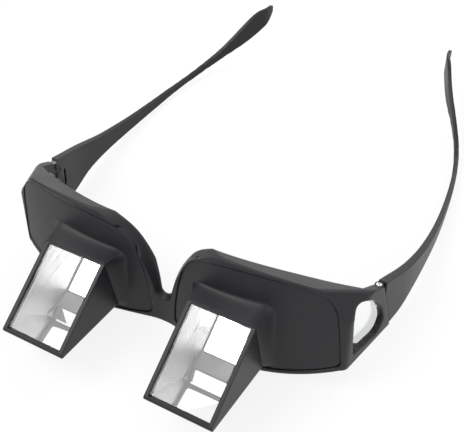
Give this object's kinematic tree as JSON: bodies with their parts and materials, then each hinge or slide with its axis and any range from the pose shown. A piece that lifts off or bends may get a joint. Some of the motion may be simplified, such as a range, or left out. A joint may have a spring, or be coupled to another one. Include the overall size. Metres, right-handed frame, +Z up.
{
  "type": "prism bed glasses",
  "caption": "Wrap-round prism spectacles for reading while lying down, with mirrored prism hoods and folding temples.",
  "frame": {"origin": "middle of the box round the glasses, on the table they lie on", "axes": "+X to the wearer's right, +Y from the prisms back to the temple tips, +Z up from the table, with the brow edge down as they lie when put down on their top edge"},
  "size_m": [0.1582, 0.2126, 0.0493],
  "materials": {
    "front_frame": "fine satin moulding",
    "lens_plate_left": "fine satin moulding",
    "lens_plate_right": "fine satin moulding",
    "prism_hood_left": "fine satin moulding with crisp edges",
    "prism_hood_right": "fine satin moulding with crisp edges",
    "prism_left": "clear acrylic, polished",
    "prism_right": "clear acrylic, polished",
    "mirror_left": "silvered, polished",
    "mirror_right": "silvered, polished",
    "side_window_left": "clear acrylic, slightly hazed",
    "side_window_right": "clear acrylic, slightly hazed",
    "temple_left": "satin moulding, glossier at the root",
    "temple_right": "satin moulding, glossier at the root",
    "hinge_screw_left": "turned steel",
    "hinge_screw_right": "turned steel"
  },
  "bodies": {
    "front": {"front_frame": "front_frame", "lens_plate_left": "lens_plate_left", "lens_plate_right": "lens_plate_right", "prism_hood_left": "prism_hood_left", "prism_hood_right": "prism_hood_right", "prism_left": "prism_left", "prism_right": "prism_right", "mirror_left": "mirror_left", "mirror_right": "mirror_right", "side_window_left": "side_window_left", "side_window_right": "side_window_right"},
    "left_temple": {"temple_left": "temple_left", "hinge_screw_left": "hinge_screw_left"},
    "right_temple": {"temple_right": "temple_right", "hinge_screw_right": "hinge_screw_right"}
  },
  "joints": [
    {"name": "left_temple_fold", "type": "hinge", "parent": "front", "child": "left_temple", "pos_m": [-0.0739, -0.03516, 0.02475], "axis": [0, -0.2148, -0.9767], "range_deg": [0, 86]},
    {"name": "right_temple_fold", "type": "hinge", "parent": "front", "child": "right_temple", "pos_m": [0.0739, -0.03516, 0.02475], "axis": [0, 0.2148, 0.9767], "range_deg": [0, 78]}
  ]
}
